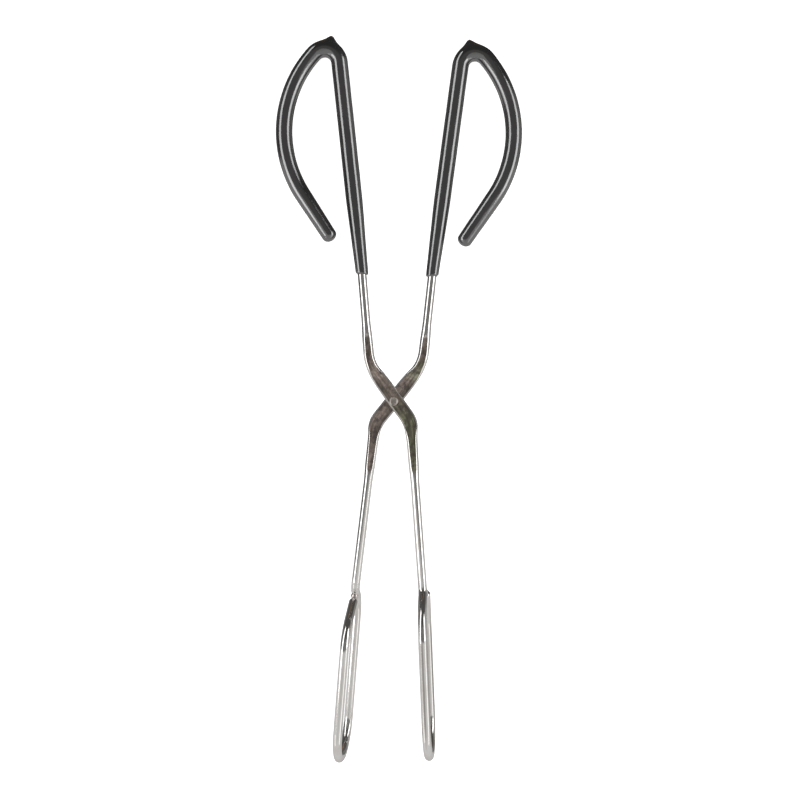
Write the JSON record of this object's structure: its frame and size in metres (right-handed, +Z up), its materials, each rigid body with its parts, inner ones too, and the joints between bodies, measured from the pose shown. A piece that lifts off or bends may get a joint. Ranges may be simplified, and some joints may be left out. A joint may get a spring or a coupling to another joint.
{
  "type": "wire cooking tongs",
  "caption": "Scissor-action wire cooking tongs with dip-coated finger hooks, a riveted crossing and long wire loops for jaws.",
  "frame": {"origin": "on the table under the middle of the whole object as it lies, about under the pivot", "axes": "+Z up from the table; +Y along the tongs towards the finger hooks; +X to the right seen from above with the hooks at the top, so the front arm, which carries the rivet's head, has its hook at -X"},
  "size_m": [0.138, 0.4046, 0.047],
  "materials": {
    "plated_wire": "bright plated",
    "dipped_vinyl": "glossy dip coat",
    "rivet_steel": "bright, slightly worn",
    "weld_metal": "plated weld, satin"
  },
  "bodies": {
    "front_arm": {"front_rod": "plated_wire", "front_grip": "dipped_vinyl", "front_loop_weld": "weld_metal", "pivot_rivet": "rivet_steel"},
    "rear_arm": {"rear_rod": "plated_wire", "rear_grip": "dipped_vinyl", "rear_loop_weld": "weld_metal"}
  },
  "joints": [
    {"name": "pivot_hinge", "type": "hinge", "parent": "front_arm", "child": "rear_arm", "pos_m": [-0.00016, -0.00038, 0.01528], "axis": [0.0322, -0.0538, -0.998], "range_deg": [-12.8, 40]}
  ]
}
